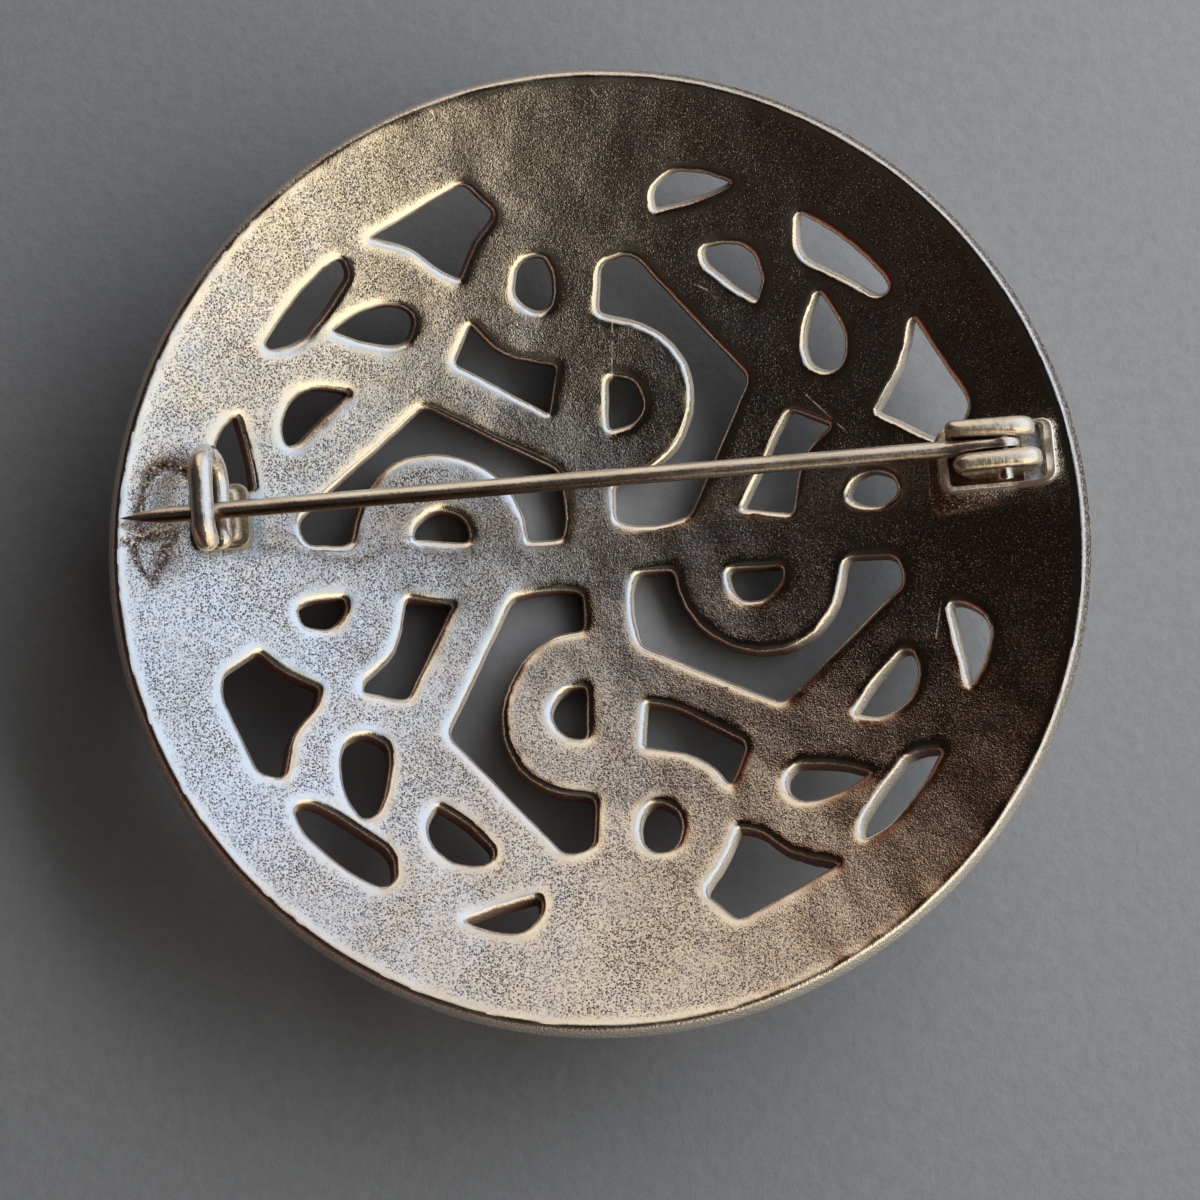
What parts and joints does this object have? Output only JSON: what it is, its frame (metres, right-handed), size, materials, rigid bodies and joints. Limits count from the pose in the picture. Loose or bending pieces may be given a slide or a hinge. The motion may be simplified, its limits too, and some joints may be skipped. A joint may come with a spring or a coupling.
{
  "type": "shield brooch",
  "caption": "Round domed pierced silver brooch lying on its front, with a hinged pin wire and a C hook on the hollow back.",
  "frame": {"origin": "middle of the small flat at the top of the dome, where the brooch rests face down", "axes": "+Z out of the hollow back, +X along the closed pin from the catch to the hinge, +Y across the pin"},
  "size_m": [0.0536, 0.0536, 0.0099],
  "materials": {
    "cast_silver": "cast silver with a fine grain, unevenly tarnished",
    "polished_silver": "worn polished silver",
    "pin_wire": "drawn silver wire"
  },
  "bodies": {
    "brooch": {"shield": "cast_silver", "hinge_rivet": "polished_silver"},
    "pin": {"pin_stem": "pin_wire"}
  },
  "joints": [
    {"name": "pin_hinge", "type": "hinge", "parent": "brooch", "child": "pin", "pos_m": [0.0221, 0.0031, 0.0082], "axis": [0, 1, 0], "range_deg": [0, 100]}
  ]
}
